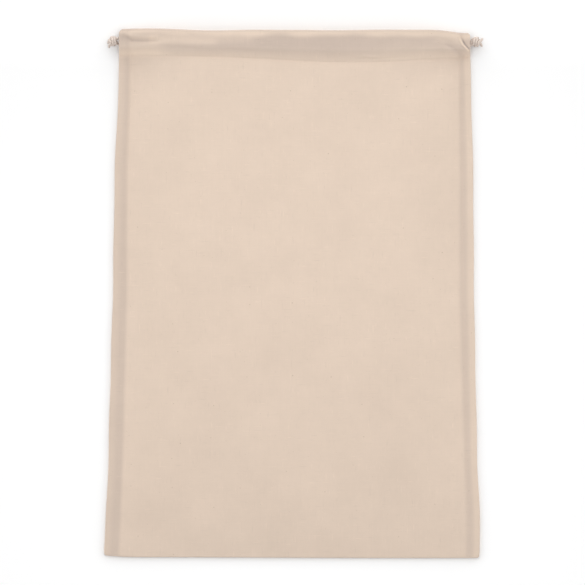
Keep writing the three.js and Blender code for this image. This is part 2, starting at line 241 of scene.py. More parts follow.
class GiftBagColours(bpy.types.PropertyGroup):
    """Colours of the sewn pieces"""

    cloth: bpy.props.FloatVectorProperty(
        name="Cloth", description="One layer of unbleached cotton",
        default=linear("#D9C6B5"), subtype="COLOR", min=0, max=1)
    # This colour also serves as painted shade in the casing's creases, at its top fold and below it.
    layering_and_painted_shade: bpy.props.FloatVectorProperty(
        name="Layered cloth", description="Cloth that lies double or fourfold, which lets less light back",
        default=linear("#C3B2A5"), subtype="COLOR", min=0, max=1)
    seed: bpy.props.FloatVectorProperty(
        name="Seed specks", description="Bits of husk left in the yarn",
        default=linear("#9A8468"), subtype="COLOR", min=0, max=1)
    cord: bpy.props.FloatVectorProperty(
        name="Cord", description="Twisted cotton cord",
        default=linear("#DACCC2"), subtype="COLOR", min=0, max=1)
    # This darker colour is painted shade in the grooves between the strands.
    cord_groove_painted_shade: bpy.props.FloatVectorProperty(
        name="Cord grooves", description="Between the strands of the cord",
        default=linear("#C4B5A9"), subtype="COLOR", min=0, max=1)
    thread: bpy.props.FloatVectorProperty(
        name="Thread", description="Sewing thread", default=linear("#D8C6B6"), subtype="COLOR", min=0, max=1)


def smoothstep(value, low, high):
    t = np.clip((value - low) / (high - low), 0, 1)
    return t * t * (3 - 2 * t)


def lerp(a, b, share):
    return a + (b - a) * share


def bell(distance, reach):
    """1 in the middle, fading to nothing."""
    return np.exp(-(distance / reach) ** 2)


def round_off(distance, radius):
    """A quarter circle: 0 at an edge, rising to 1 at the radius and beyond."""
    t = 1 - np.clip(distance / radius, 0, 1)
    return np.sqrt(1 - t * t)


def along(column, up):
    """A column of the section table at any height: a cubic with no overshoot."""
    ups = np.array([row["up"] for row in SECTIONS])
    values = np.array([row[column] for row in SECTIONS])
    grades = np.diff(values) / np.diff(ups)
    tangents = [grades[0]]
    for before, after in zip(grades[:-1], grades[1:]):
        same_way = before * after > 0
        tangents.append(2 * before * after / (before + after) if same_way else 0.0)
    tangents = np.array(tangents + [grades[-1]])
    i = np.clip(np.searchsorted(ups, up) - 1, 0, len(ups) - 2)
    run = ups[i + 1] - ups[i]
    t = np.clip((up - ups[i]) / run, 0, 1)
    rest = 1 - t
    ends = values[i] * (1 + 2 * t) * rest ** 2 + values[i + 1] * (1 + 2 * rest) * t ** 2
    return ends + run * t * rest * (tangents[i] * rest - tangents[i + 1] * t)


def side_edges(up):
    bottom = BOTTOM_CORNER * (1 - round_off(up, BOTTOM_CORNER))
    edges = {}
    for side, radius in TOP_CORNERS.items():
        edges[side] = along(side, up) - bottom - radius * (1 - round_off(BAG_HEIGHT - up, radius))
    return -edges["left"], edges["right"]


def line_distance(x, up, line):
    """Distance from points to a bent line."""
    nearest = np.full(np.broadcast(x, up).shape, np.inf)
    for (ax, ay), (bx, by) in zip(line[:-1], line[1:]):
        dx, dy = bx - ax, by - ay
        t = np.clip(((x - ax) * dx + (up - ay) * dy) / (dx * dx + dy * dy), 0, 1)
        nearest = np.minimum(nearest, np.hypot(x - ax - t * dx, up - ay - t * dy))
    return nearest


def relief(table, key, x, up):
    """The sum of a table's soft lines at points of the front panel."""
    return sum(row[key] * bell(line_distance(x, up, row["line"]), row["reach"]) for row in table)


def casing_share(up):
    """0 in the bag's body, 1 in the casings."""
    return smoothstep(up, STITCHING, STITCHING + CASING_RAMP)


def tension(x):
    """How firmly the stitching draws the casing down: less at its left end."""
    return lerp(LOOSE_END["tension"], 1.0, smoothstep(x, LOOSE_END["loose"], LOOSE_END["firm"]))


def panel_height(x, up):
    """The front panel's outer height, without what the casing adds."""
    left, right = side_edges(up)
    sides = lerp(SEAM_STACK, CASING_SIDES, casing_share(up))
    from_side = np.minimum(x - left, right - x)
    t = np.clip((from_side - SEAM_ALLOWANCE) / DRAPE_RUN, 0, 1)
    rise = (along("middle", up) - sides) * t * (2 - t)
    return sides + rise + relief(FOLDS, "rise", x, up) * smoothstep(from_side, 0, SEAM_STACK)


def front_height(x, up):
    """The outer height of the front casing, or of the front panel below it. The casing
    lies closer on its cords than the solid, and bends down towards its top fold."""
    bend = CASING_BEND * smoothstep(up, CORD_UP + CORD_SPREAD, BAG_HEIGHT)
    slack = 1 - tension(x)
    ramp_starts = STITCHING - LOOSE_END["before"] * slack
    ramp_ends = STITCHING + CASING_RAMP + LOOSE_END["after"] * slack
    rise = CASING_RISE * smoothstep(up, ramp_starts, ramp_ends)
    left, right = side_edges(up)
    inner = smoothstep(np.minimum(x - left, right - x), HOLLOW["none"], HOLLOW["full"])
    hollow = HOLLOW["depth"] * bell(up - STITCHING + HOLLOW["below"], HOLLOW["reach"])
    return panel_height(x, up) + rise - bend - inner * tension(x) * hollow


def dips(table, x):
    """How much lower than a straight line a fold lies."""
    return sum(row["depth"] * bell(x - row["x"], row["reach"]) for row in table)


def place_up(x, up):
    """Where a height of the bag lies along Y: its folds dip and the stitching bows."""
    bow = STITCHING_BOW["rise"] * (1 - bell(x - STITCHING_BOW["x"], STITCHING_BOW["reach"]))
    below = smoothstep(up, STITCHING - STITCHING_BOW["fade"], STITCHING)
    above = np.clip((CORD_UP - up) / (CORD_UP - STITCHING), 0, 1)
    moved = bow * np.where(up < STITCHING, below, above)
    moved = moved - dips(TOP_DIPS, x) * smoothstep(up, STITCHING, BAG_HEIGHT)
    return up - BAG_HEIGHT / 2 + moved - dips(BOTTOM_DIPS, x) * (1 - smoothstep(up, 0, BOTTOM_FADE))


def allowance(side, up):
    ups = [row["up"] for row in ALLOWANCES]
    return np.interp(up, ups, [row[side] for row in ALLOWANCES])


def wander(x, up):
    """The slight unevenness of cloth that was laid down and not pressed."""
    return (0.16 * np.sin(x / 21 + 1.1 * np.sin(up / 47)) * np.sin(up / 33 + 0.7 * np.sin(x / 39))
            + 0.10 * np.sin(x / 9.5 + up / 31 + 1.7) * np.sin(up / 17 - x / 45))


def puckers(x):
    """Small gathers along the stitching."""
    return PUCKERS["height"] * np.sin(x / 1.15 + 1.4 * np.sin(x / 23)) * tension(x)


def creases(x, up, reach):
    """Fine creases of the front, none at its side edges."""
    return relief(CREASES, "rise", x, up) * smoothstep(reach, 0.5, 3)


def off_seam(past):
    """0 over a seam allowance, 1 a little way past it."""
    return np.clip((past + 2) / 6, 0, 1)


def front_surface(x, up, reach, past):
    """The outer surface of the front cloth, drawn down at its stitching and at its seams."""
    groove = GROOVE["depth"] * tension(x) * bell(up - STITCHING, GROOVE["reach"])
    uneven = wander(x, up) + puckers(x) * bell(up - STITCHING, PUCKERS["reach"]) - groove
    dip = SEAM_DIP["depth"] * bell(past - SEAM_DIP["past"], SEAM_DIP["reach"])
    dip = dip * (1 - smoothstep(up, STITCHING - SEAM_DIP["fade"], STITCHING))
    loose = off_seam(past) * uneven - dip
    return front_height(x, up) + creases(x, up, reach) + loose * smoothstep(up, BOTTOM_FOLD, FLAT_BOTTOM)


def layering_and_painted_shade(x, up, reach, past):
    """How deep the cloth looks: 0 where one layer shows, 1 where it lies on a casing's turn.
    It also holds painted shade in creases, at the top fold and below the casing, and painted
    light on ridges and at the bottom fold.
    """
    above = up - STITCHING

    # The seam allowances show through as bands, which start at an outer rim.
    over = 1 - smoothstep(past, -2.4, 1.6)
    left, right = SEAM_TONES["left"], SEAM_TONES["right"]
    band = np.where(x < 0, left["band"], right["band"])
    rim = np.where(x < 0, left["rim"], right["rim"])
    seam = over * lerp(rim, band, smoothstep(reach, 1.5, 7.0))

    # The casing deepens upwards and pales along a ragged line below its top fold. At the fold
    # itself it is deep again: painted shade.
    casing = lerp(0.15, 1.0, smoothstep(above, 1, 13)) + relief(TONES_AND_PAINTED_SHADE, "change", x, up)
    ragged = 0.9 * np.sin(x / 13 + 2 * np.sin(x / 31)) + 0.6 * np.sin(x / 5.1 + 1)
    casing = lerp(casing, 0.0, smoothstep(above + ragged, CASING_DEPTH - 7.4, CASING_DEPTH - 1.6))
    casing = casing + 0.9 * smoothstep(above, CASING_DEPTH - 2.6, CASING_DEPTH - 0.6)

    # The panel is palest at the bottom fold: painted light against the fold's shading. Below the casing it
    # takes painted shade. It meets the casing more softly at the loose end.
    panel = np.maximum(seam, relief(PAINTED_SHADES, "change", x, up)) - 0.1 * (1 - smoothstep(up, 0.5, 5.0))
    soft = 1.8 * (1 - smoothstep(x, -60, 0))
    return lerp(panel, casing + 0.4 * seam, smoothstep(above, -1.6 - soft, 2.0 + soft))


def add(tree, kind, inputs=None, **settings):
    """Add a node with its settings, and its inputs as values or links. A node that is given
    as an input is linked by its first output."""
    node = tree.nodes.new(kind)
    for name, value in settings.items():
        setattr(node, name, value)
    for name, value in (inputs or {}).items():
        if isinstance(value, bpy.types.Node):
            value = value.outputs[0]
        if isinstance(value, bpy.types.NodeSocket):
            tree.links.new(value, node.inputs[name])
        else:
            node.inputs[name].default_value = value
    return node


def new_material(name):
    material = bpy.data.materials.new(name)
    material.use_nodes = True
    material.node_tree.nodes.clear()
    return material, material.node_tree


def colour(value):
    return (*value, 1.0)


def shaded(tree, tone, pattern, low, high, dark, pale):
    """A tone that a pattern makes darker and paler."""
    shade = add(tree, "ShaderNodeMapRange", {
        "Value": pattern, "From Min": low, "From Max": high, "To Min": dark, "To Max": pale})
    return add(tree, "ShaderNodeVectorMath", {0: tone, "Scale": shade}, operation="SCALE")


def cotton_cloth(colours):
    """Unbleached cotton in plain weave, washed and not pressed: a matt, faintly hairy cream
    with uneven yarns both ways, a few slubs and dark bits of husk. Where the cloth lies over
    an allowance or a turn, less light comes back through it, so it looks deeper. The same
    deeper colour is painted shade in creases, at the top fold and below the casing. The
    cloth is painted paler as painted highlight on ridges and as painted light at the bottom fold."""
    material, tree = new_material("unbleached_plain_weave_cotton")
    flat = add(tree, "ShaderNodeAttribute", attribute_name="flat").outputs["Vector"]
    deeper = add(tree, "ShaderNodeAttribute", attribute_name="layering_and_painted_shade").outputs["Fac"]

    # Uneven yarns of about half a millimetre, drawn twice as coarse so that they show, and slubs,
    # the thick and thin places in single yarns, 5 to 15 mm long. Their scales are per millimetre.
    warp = dict(yarn=(0.95, 0.024, 1.0), slub=(0.8, 0.1, 1.0))
    weft = dict(yarn=(0.02, 0.9, 1.0), slub=(0.09, 0.85, 1.0))
    yarns, patterns = [], []
    for way in (warp, weft):
        at = add(tree, "ShaderNodeMapping", {"Vector": flat, "Scale": way["yarn"]})
        yarn = add(tree, "ShaderNodeTexNoise", {"Vector": at, "Scale": 1.0, "Detail": 2.0})
        at = add(tree, "ShaderNodeMapping", {"Vector": flat, "Scale": way["slub"]})
        slub = add(tree, "ShaderNodeTexNoise", {"Vector": at, "Scale": 1.0, "Detail": 1.0})
        yarns.append(yarn)
        patterns.append((yarn, 0.25, 0.75, 0.993, 1.007))
        patterns.append((slub, 0.67, 0.87, 1.0, 1.09))
        patterns.append((slub, 0.14, 0.34, 0.92, 1.0))

    # Faint clouds, the largest about 50 mm across.
    clouds = add(tree, "ShaderNodeTexNoise", {
        "Vector": flat, "Scale": 1 / 50, "Detail": 5.0, "Roughness": 0.75})
    patterns.append((clouds, 0.25, 0.75, 0.956, 1.044))

    toned = add(tree, "ShaderNodeMix", {
        "Factor": deeper, 6: colour(colours.cloth), 7: colour(colours.layering_and_painted_shade)},
        data_type="RGBA", clamp_factor=False).outputs[2]
    for pattern in patterns:
        toned = shaded(tree, toned, *pattern)

    # Husk specks: a few of almost a millimetre, in cells of 30 mm, and more that are finer.
    for cell, radius, most in ((30.0, 0.5, 0.6), (13.0, 0.36, 0.34)):
        specks = add(tree, "ShaderNodeTexVoronoi", {
            "Vector": flat, "Scale": 1 / cell}, voronoi_dimensions="2D")
        near = add(tree, "ShaderNodeMapRange", {
            "Value": specks, "From Min": 0.5 * radius / cell, "From Max": radius / cell,
            "To Min": 1.0, "To Max": 0.0})
        chance = add(tree, "ShaderNodeSeparateColor", {"Color": specks.outputs["Color"]})
        chance = add(tree, "ShaderNodeMapRange", {
            "Value": chance.outputs["Red"], "From Min": 0.3, "From Max": 1.0, "To Min": 0.0, "To Max": most})
        speck = add(tree, "ShaderNodeMath", {0: near, 1: chance}, operation="MULTIPLY")
        toned = add(tree, "ShaderNodeMix", {
            "Factor": speck, 6: toned, 7: colour(colours.seed)}, data_type="RGBA").outputs[2]

    # The weave itself, over and under, drawn at 1 mm where real yarns lie 0.5 mm apart. A wave
    # texture has 10 / pi waves to a unit, so this scale gives one to a millimetre.
    waves = []
    for way in ("X", "Y"):
        wave = add(tree, "ShaderNodeTexWave", {"Vector": flat, "Scale": 0.3142}, bands_direction=way)
        waves.append(wave.outputs["Fac"])
    weave = add(tree, "ShaderNodeMath", {0: waves[0], 1: waves[1]}, operation="MULTIPLY")
    uneven = add(tree, "ShaderNodeMath", {0: yarns[0], 1: yarns[1]}, operation="ADD")
    height = add(tree, "ShaderNodeMath", {
        0: uneven, 1: 0.8, 2: weave}, operation="MULTIPLY_ADD")
    bump = add(tree, "ShaderNodeBump", {"Strength": 0.1, "Distance": 0.00025, "Height": height})
    surface = add(tree, "ShaderNodeBsdfPrincipled", {
        "Base Color": toned, "Normal": bump, "Roughness": 0.92,
        "IOR": 1.45, "Specular IOR Level": 0.15, "Sheen Weight": 0.4, "Sheen Roughness": 0.45})
    add(tree, "ShaderNodeOutputMaterial", {"Surface": surface})
    return material


def cotton_cord(colours):
    """Soft cotton cord of three twisted strands: matt, with the fibres running along the
    strands and painted shade in the grooves between them."""
    material, tree = new_material("three_strand_cotton_cord")
    lay = add(tree, "ShaderNodeAttribute", attribute_name="lay").outputs["Vector"]
    depth = add(tree, "ShaderNodeSeparateXYZ", {"Vector": lay}).outputs["Z"]
    # The grooves between the strands get the darker colour: painted shade.
    groove = add(tree, "ShaderNodeMapRange", {
        "Value": depth, "From Min": 0.05, "From Max": 0.6, "To Min": 1.0, "To Max": 0.0})
    base = add(tree, "ShaderNodeMix", {
        "Factor": groove, 6: colour(colours.cord), 7: colour(colours.cord_groove_painted_shade)},
        data_type="RGBA")

    # Tufts of fibres about 0.1 mm wide and 3 mm long.
    fibre_at = add(tree, "ShaderNodeMapping", {"Vector": lay, "Scale": (9.0, 0.35, 1.0)})
    fibres = add(tree, "ShaderNodeTexNoise", {"Vector": fibre_at, "Scale": 1.0, "Detail": 3.0})
    toned = shaded(tree, base.outputs[2], fibres, 0.0, 1.0, 0.86, 1.12)
    bump = add(tree, "ShaderNodeBump", {"Strength": 0.5, "Distance": 0.0002, "Height": fibres})
    surface = add(tree, "ShaderNodeBsdfPrincipled", {
        "Base Color": toned, "Normal": bump, "Roughness": 0.92,
        "IOR": 1.45, "Specular IOR Level": 0.15, "Sheen Weight": 0.15, "Sheen Roughness": 0.6})
    add(tree, "ShaderNodeOutputMaterial", {"Surface": surface})
    return material


def sewing_thread(colours):
    """Spun cotton sewing thread: matt, a little paler and darker along its twist."""
    material, tree = new_material("cotton_sewing_thread")
    at = add(tree, "ShaderNodeTexCoord").outputs["Object"]
    twist = 0.4 * MM
    twists = add(tree, "ShaderNodeTexNoise", {"Vector": at, "Scale": 1 / twist, "Detail": 1.0})
    toned = shaded(tree, tuple(colours.thread), twists, 0.0, 1.0, 0.88, 1.1)
    surface = add(tree, "ShaderNodeBsdfPrincipled", {
        "Base Color": toned, "Roughness": 0.85, "IOR": 1.45, "Specular IOR Level": 0.2})
    add(tree, "ShaderNodeOutputMaterial", {"Surface": surface})
    return material


def white_paper(name):
    """Seamless studio paper: matt and white, with the faintest grain. It is a little greyer
    towards the bag's top, where most light falls, and paler again past it, so that it looks
    white all over."""
    material, tree = new_material(name)
    at = add(tree, "ShaderNodeTexCoord").outputs["Object"]
    along_y = add(tree, "ShaderNodeSeparateXYZ", {"Vector": at}).outputs["Y"]
    under = add(tree, "ShaderNodeMapRange", {
        "Value": along_y, "From Min": -0.26, "From Max": 0.18, "To Min": 0.99, "To Max": 0.913})
    behind = add(tree, "ShaderNodeMapRange", {
        "Value": along_y, "From Min": 0.18, "From Max": 0.225, "To Min": 0.0, "To Max": 0.07})
    shade = add(tree, "ShaderNodeMath", {0: under, 1: behind}, operation="ADD")
    speckle = 25.0 * MM
    grain = add(tree, "ShaderNodeTexNoise", {"Vector": at, "Scale": 1 / speckle, "Detail": 1.0})
    grain = add(tree, "ShaderNodeMapRange", {"Value": grain, "To Min": 0.998, "To Max": 1.002})
    grey = add(tree, "ShaderNodeMath", {0: shade, 1: grain}, operation="MULTIPLY")
    tint = add(tree, "ShaderNodeCombineColor", {"Red": grey, "Green": grey, "Blue": grey})
    surface = add(tree, "ShaderNodeBsdfDiffuse", {"Color": tint})
    add(tree, "ShaderNodeOutputMaterial", {"Surface": surface})
    return material


def new_piece(name, points, edges=(), faces=(), material=None):
    """A piece in the scene, from points in millimetres."""
    mesh = bpy.data.meshes.new(name)
    mesh.from_pydata((np.asarray(points) * MM).tolist(), edges, faces)
    if material:
        mesh.materials.append(material)
        mesh.shade_smooth()
    piece = bpy.data.objects.new(name, mesh)
    bpy.context.scene.collection.objects.link(piece)
    return piece


def point_values(piece, name, kind, values):
    key = "vector" if kind == "FLOAT_VECTOR" else "value"
    attribute = piece.data.attributes.new(name, kind, "POINT")
    attribute.data.foreach_set(key, np.ascontiguousarray(values, np.float32).ravel())


def settle(piece):
    """Make a piece's modifiers part of its own mesh."""
    graph = bpy.context.evaluated_depsgraph_get()
    made = bpy.data.meshes.new_from_object(
        piece.evaluated_get(graph), preserve_all_data_layers=True, depsgraph=graph)
    piece.modifiers.clear()
    spare, piece.data = piece.data, made
    bpy.data.meshes.remove(spare)
    made.name = piece.name


def new_tree(name, inputs, output):
    """An empty Geometry Nodes tree, and its inputs by name."""
    tree = bpy.data.node_groups.new(name, "GeometryNodeTree")
    for socket, kind in inputs.items():
        tree.interface.new_socket(socket, in_out="INPUT", socket_type=f"NodeSocket{kind}")
    tree.interface.new_socket(output, in_out="OUTPUT", socket_type="NodeSocketGeometry")
    return tree, add(tree, "NodeGroupInput").outputs


def end_tree(tree, output, material, points, shape, turned, size):
    """End a tree with its shape set on every point, made real and given its material."""
    placed = add(tree, "GeometryNodeInstanceOnPoints", {
        "Points": points, "Instance": shape, "Rotation": turned, "Scale": size})
    real = add(tree, "GeometryNodeRealizeInstances", {"Geometry": placed})
    dressed = add(tree, "GeometryNodeSetMaterial", {"Geometry": real, "Material": material})
    add(tree, "NodeGroupOutput", {output: dressed})
    return tree


def grow(piece, tree, inputs):
    """Keep what a Geometry Nodes tree makes of a piece."""
    maker = piece.modifiers.new(tree.name, "NODES")
    maker.node_group = tree
    identifiers = {socket.name: socket.identifier for socket in tree.interface.items_tree}
    for name, value in inputs.items():
        maker[identifiers[name]] = value
    settle(piece)
    if not piece.data.polygons:
        raise RuntimeError(f"{piece.name}: {tree.name} made nothing")


def smooth_line(points, step):
    """A smooth line through points, as evenly spaced points about a step apart."""
    points = np.asarray(points, float)
    before = 2 * points[0] - points[1]
    after = 2 * points[-1] - points[-2]
    held = np.vstack([before, points, after])
    dense = []
    for a, b, c, d in zip(held[:-3], held[1:-2], held[2:-1], held[3:]):
        steps = [max(np.linalg.norm(q - p), 1e-6) ** 0.5 for p, q in ((a, b), (b, c), (c, d))]
        knots = np.cumsum([0] + steps)
        t = np.linspace(knots[1], knots[2], 24, endpoint=False)[:, None]
        ab = lerp(a, b, (t - knots[0]) / (knots[1] - knots[0]))
        bc = lerp(b, c, (t - knots[1]) / (knots[2] - knots[1]))
        cd = lerp(c, d, (t - knots[2]) / (knots[3] - knots[2]))
        abc = lerp(ab, bc, (t - knots[0]) / (knots[2] - knots[0]))
        bcd = lerp(bc, cd, (t - knots[1]) / (knots[3] - knots[1]))
        dense.append(lerp(abc, bcd, (t - knots[1]) / (knots[2] - knots[1])))
    dense = np.vstack(dense + [points[-1:]])
    lengths = np.concatenate([[0], np.cumsum(np.linalg.norm(np.diff(dense, axis=0), axis=1))])
    even = np.linspace(0, lengths[-1], int(round(lengths[-1] / step)) + 1)
    return np.stack([np.interp(even, lengths, dense[:, k]) for k in range(3)], axis=1), lengths[-1]


# How a cord runs in its knot: through the core, round it side by side with the other end, and
# out through the core again. Distances are out from the bag's edge. Each point of the way in
# and of the way out gives its distance, its share of the core's radius and its angle past the
# cord's slot, or past the last turn. The turns start a little past the slot and come a pitch
# nearer to the bag each time round.
KNOT_CORD = 0.95
KNOT_CORE = KNOT_CORD * math.sqrt(2)
KNOT_GIRTH = KNOT_CORD * (2 + math.sqrt(2))
KNOT_MIDDLE = 4.4
KNOT_IN = ((2.4, 1.0, 0.0), (4.4, 1.0, 0.0), (6.4, 1.05, 0.0), (7.7, 1.5, 0.35))
KNOT_STARTS = 6.7
KNOT_LEAD = 0.9
KNOT_TURNS = 1.12
KNOT_PITCH = 4 * KNOT_CORD
KNOT_STEPS = 14
KNOT_OUT = ((1.7, 1.5, 0.45), (2.6, 1.0, 0.7), (4.6, 1.0, 0.7), (6.6, 1.0, 0.7))

# How much of each cord end is drawn thin by its knot, and where its full thickness is reached.
KNOT_THIN = 42.0
KNOT_FULL = 54.0

# A cord's line: where it starts in the casing, how far it runs on past its turn's start, and
# how many points it is given in the casing and in the turn.
CORD_STARTS = 0.9
TURN_LEAD = 4.0
RUN_POINTS = 36
TURN_POINTS = 13

# A cord's surface: the distance between its rings, the points round each, how deep the grooves
# between its strands are as a share of its radius, how far its cut tips bulge, and how much like
# a strand's ridge they look.
CORD_STEP = 0.7
CORD_SIDES = 18
STRAND_GROOVE = 0.16
TIP_BULGE = 0.25
TIP_RIDGE = 0.3

# A direction that no cord end runs along, from which its rings are turned.
SPARE_WAY = (0.0, 0.3, 1.0)

# The loose fibres of a cut tip: how many, and how far out from its middle, as a share of its
# radius. They are set out by the golden angle.
FRAY_COUNT = 16
FRAY_SPREAD = 0.7
FRAY_SEED = 5
GOLDEN_ANGLE = math.radians(137.5)


def knot_end(side, strand, edge, y):
    """One cord end from the bag's edge through the knot to its cut tip."""
    slot = math.radians(45 if strand == 0 else 225)

    def at(out, radius, angle):
        return (edge + side * out, y + radius * math.cos(angle), KNOT_HEIGHT + radius * math.sin(angle))

    points = [at(out, KNOT_CORE * share, slot + past) for out, share, past in KNOT_IN]
    first = slot + KNOT_LEAD
    for turn in np.linspace(0, KNOT_TURNS, KNOT_STEPS + 1):
        points.append(at(KNOT_STARTS - KNOT_PITCH * turn, KNOT_GIRTH, first + 2 * math.pi * turn))
    last = first + 2 * math.pi * KNOT_TURNS
    points += [at(out, KNOT_CORE * share, last + past) for out, share, past in KNOT_OUT]
    out, across, up = KNOT_TAILS[side][strand]
    points.append((edge + side * (KNOT_MIDDLE + out), y + across, KNOT_HEIGHT + up))
    return points


def cord_points(side):
    """A drawcord from one cut tip to the other, by way of both casings."""
    left, right = side_edges(CORD_UP)
    near, far = (left, right) if side < 0 else (right, left)
    y = float(place_up(near, CORD_UP)) + KNOT_LIFTS[side]
    front_up, back_up = CORD_UP - side * CORD_SPREAD, CORD_UP + side * CORD_SPREAD
    turn_at = far + side * TURN_SETBACK

    def near_side(x, ease):
        return ease["most"] * (1 - smoothstep(min(x - left, right - x), ease["full"], ease["none"]))

    def front(x):
        z = float(panel_height(x, front_up)) + CORD_SEAT - near_side(x, CORD_DROOP)
        return (x, float(place_up(x, front_up)), z)

    def back(x):
        return (x, float(place_up(x, back_up)), CASING / 2 + near_side(x, CORD_LIFT))

    run = np.linspace(near - side * CORD_STARTS, turn_at + side * TURN_LEAD, RUN_POINTS)
    enter, leave = np.array(front(turn_at)), np.array(back(turn_at))
    centre = (enter + leave) / 2
    reach = np.linalg.norm(enter - leave) / 2
    turn = []
    for angle in np.linspace(0, math.pi, TURN_POINTS):
        point = centre + (enter - centre) * math.cos(angle)
        turn.append(point + np.array((-side * reach * math.sin(angle), 0, 0)))
    points = knot_end(side, 0, near, y)[::-1]
    points += [front(x) for x in run] + turn + [back(x) for x in run[::-1]]
    return points + knot_end(side, 1, near, y)


def twisted_cord(name, line, radii, lay, material):
    """A closed tube of three twisted strands along a line."""
    count = len(line)
    tangents = np.gradient(line, axis=0)
    tangents /= np.linalg.norm(tangents, axis=1)[:, None]
    normal = np.cross(tangents[0], SPARE_WAY)
    normals = []
    for tangent in tangents:
        normal = normal - tangent * normal.dot(tangent)
        normal /= np.linalg.norm(normal)
        normals.append(normal)
    normals = np.array(normals)
    binormals = np.cross(tangents, normals)
    run = np.concatenate([[0], np.cumsum(np.linalg.norm(np.diff(line, axis=0), axis=1))])
    angles = np.arange(CORD_SIDES) * 2 * math.pi / CORD_SIDES
    strand = angles - (2 * math.pi * run / lay)[:, None]
    ridge = np.abs(np.cos(1.5 * strand))
    reach = radii[:, None] * (1 - STRAND_GROOVE * (1 - ridge ** 0.6))
    spokes = np.cos(angles)[:, None] * normals[:, None] + np.sin(angles)[:, None] * binormals[:, None]
    rings = line[:, None] + reach[..., None] * spokes
    tips = [line[0] - TIP_BULGE * tangents[0], line[-1] + TIP_BULGE * tangents[-1]]

    faces = []
    sides = [(c, (c + 1) % CORD_SIDES) for c in range(CORD_SIDES)]
    for here in range(0, (count - 1) * CORD_SIDES, CORD_SIDES):
        on = here + CORD_SIDES
        faces += [(here + c, here + d, on + d, on + c) for c, d in sides]
    first_tip = count * CORD_SIDES
    last_ring = first_tip - CORD_SIDES
    for c, d in sides:
        faces.append((first_tip, d, c))
        faces.append((first_tip + 1, last_ring + c, last_ring + d))
    points = np.vstack([rings.reshape(-1, 3), tips])
    piece = new_piece(name, points, faces=faces, material=material)
    values = np.stack([strand, np.broadcast_to(run[:, None], strand.shape), ridge], axis=2).reshape(-1, 3)
    tip_values = [(0.0, 0.0, TIP_RIDGE), (0.0, run[-1], TIP_RIDGE)]
    point_values(piece, "lay", "FLOAT_VECTOR", np.vstack([values, tip_values]))
    return piece


def fray_tree(material):
    """Loose fibres that fan out of cut cord ends."""
    tree, start = new_tree("frayed_ends", {
        "Tips": "Geometry", "Length": "Float", "Thickness": "Float", "Seed": "Int"}, "Fibres")
    way = add(tree, "GeometryNodeInputNamedAttribute", {"Name": "way"}, data_type="FLOAT_VECTOR")
    spread = add(tree, "FunctionNodeRandomValue", {
        0: (-0.5, -0.5, -0.5), 1: (0.5, 0.5, 0.5), "Seed": start["Seed"]}, data_type="FLOAT_VECTOR")
    lean = add(tree, "ShaderNodeVectorMath", {0: way, 1: spread}, operation="ADD")
    turned = add(tree, "FunctionNodeAlignRotationToVector", {"Vector": lean}, axis="Z")
    cone = add(tree, "GeometryNodeMeshCone", {
        "Vertices": 5, "Radius Top": 0.2, "Radius Bottom": 0.5, "Depth": 1.0})
    fibre = add(tree, "GeometryNodeStoreNamedAttribute", {
        "Geometry": cone, "Name": "lay", "Value": (0.0, 0.0, 0.6)}, data_type="FLOAT_VECTOR")
    size = add(tree, "ShaderNodeCombineXYZ", {
        "X": start["Thickness"], "Y": start["Thickness"], "Z": start["Length"]})
    share = add(tree, "FunctionNodeRandomValue", {2: 0.5, 3: 1.1, "Seed": start["Seed"]}, data_type="FLOAT")
    sized = add(tree, "ShaderNodeVectorMath", {0: size, "Scale": share.outputs[1]}, operation="SCALE")
    return end_tree(tree, "Fibres", material, start["Tips"], fibre, turned, sized)


def frayed_ends(name, line, tree, sizes):
    """The fibres at both ends of a cord's line, as a piece of their own."""
    points, ways = [], []
    for tip, way in ((line[0], line[0] - line[1]), (line[-1], line[-1] - line[-2])):
        way = way / np.linalg.norm(way)
        side = np.cross(way, SPARE_WAY)
        side /= np.linalg.norm(side)
        for i in range(FRAY_COUNT):
            out = FRAY_SPREAD * KNOT_CORD * math.sqrt((i + 0.5) / FRAY_COUNT)
            spoke = side * math.cos(GOLDEN_ANGLE * i) + np.cross(way, side) * math.sin(GOLDEN_ANGLE * i)
            points.append(tip + spoke * out)
            ways.append(way)
    piece = new_piece(name, points)
    point_values(piece, "way", "FLOAT_VECTOR", ways)
    grow(piece, tree, {"Length": sizes.fray, "Thickness": sizes.fibre, "Seed": FRAY_SEED})
    return piece


